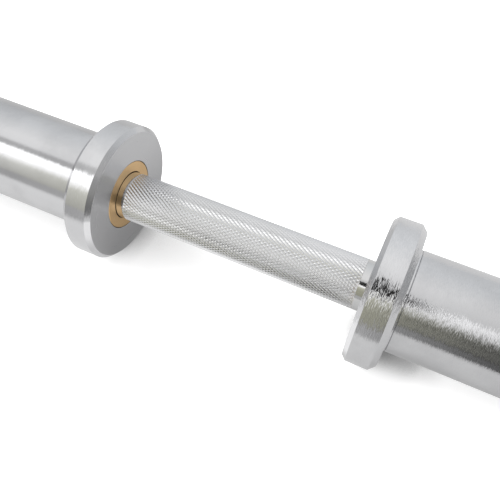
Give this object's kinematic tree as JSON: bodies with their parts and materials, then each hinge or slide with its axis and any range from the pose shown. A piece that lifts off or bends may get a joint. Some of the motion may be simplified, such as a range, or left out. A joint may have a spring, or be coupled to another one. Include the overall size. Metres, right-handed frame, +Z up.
{
  "type": "dumbbell bar",
  "caption": "Short dumbbell bar with a knurled grip, chamfered collars and smooth plate sleeves that turn freely on flanged bronze bushings.",
  "frame": {"origin": "centre of the bar, on its axis, half way between the two collars", "axes": "+X along the bar towards the right sleeve, +Z up, -Y towards a person standing in front of the bar"},
  "size_m": [0.503, 0.072, 0.072],
  "materials": {
    "shaft_steel": "satin hard chrome, diamond knurl with short polished lands",
    "collar_steel": "turned and satin plated",
    "sleeve_steel": "fine brushed round the axis and plated",
    "bronze": "machined oil-bearing bronze",
    "washer_steel": "ground",
    "spring_steel": "dark oiled spring steel",
    "cap_metal": "turned",
    "seal_rubber": "matt"
  },
  "bodies": {
    "shaft": {"shaft": "shaft_steel", "left_inner_thrust_washer": "washer_steel", "left_outer_thrust_washer": "washer_steel", "left_shaft_retaining_ring": "spring_steel", "right_inner_thrust_washer": "washer_steel", "right_outer_thrust_washer": "washer_steel", "right_shaft_retaining_ring": "spring_steel"},
    "left_sleeve": {"left_collar": "collar_steel", "left_sleeve": "sleeve_steel", "left_collar_bushing": "bronze", "left_end_bushing": "bronze", "left_end_cap": "cap_metal", "left_cap_seal": "seal_rubber", "left_cap_retaining_ring": "spring_steel"},
    "right_sleeve": {"right_collar": "collar_steel", "right_sleeve": "sleeve_steel", "right_collar_bushing": "bronze", "right_end_bushing": "bronze", "right_end_cap": "cap_metal", "right_cap_seal": "seal_rubber", "right_cap_retaining_ring": "spring_steel"}
  },
  "joints": [
    {"name": "left_sleeve_spin", "type": "hinge", "parent": "shaft", "child": "left_sleeve", "pos_m": [-0.1655, 0, 0], "axis": [1, 0, 0], "continuous": true},
    {"name": "right_sleeve_spin", "type": "hinge", "parent": "shaft", "child": "right_sleeve", "pos_m": [0.1655, 0, 0], "axis": [1, 0, 0], "continuous": true}
  ]
}
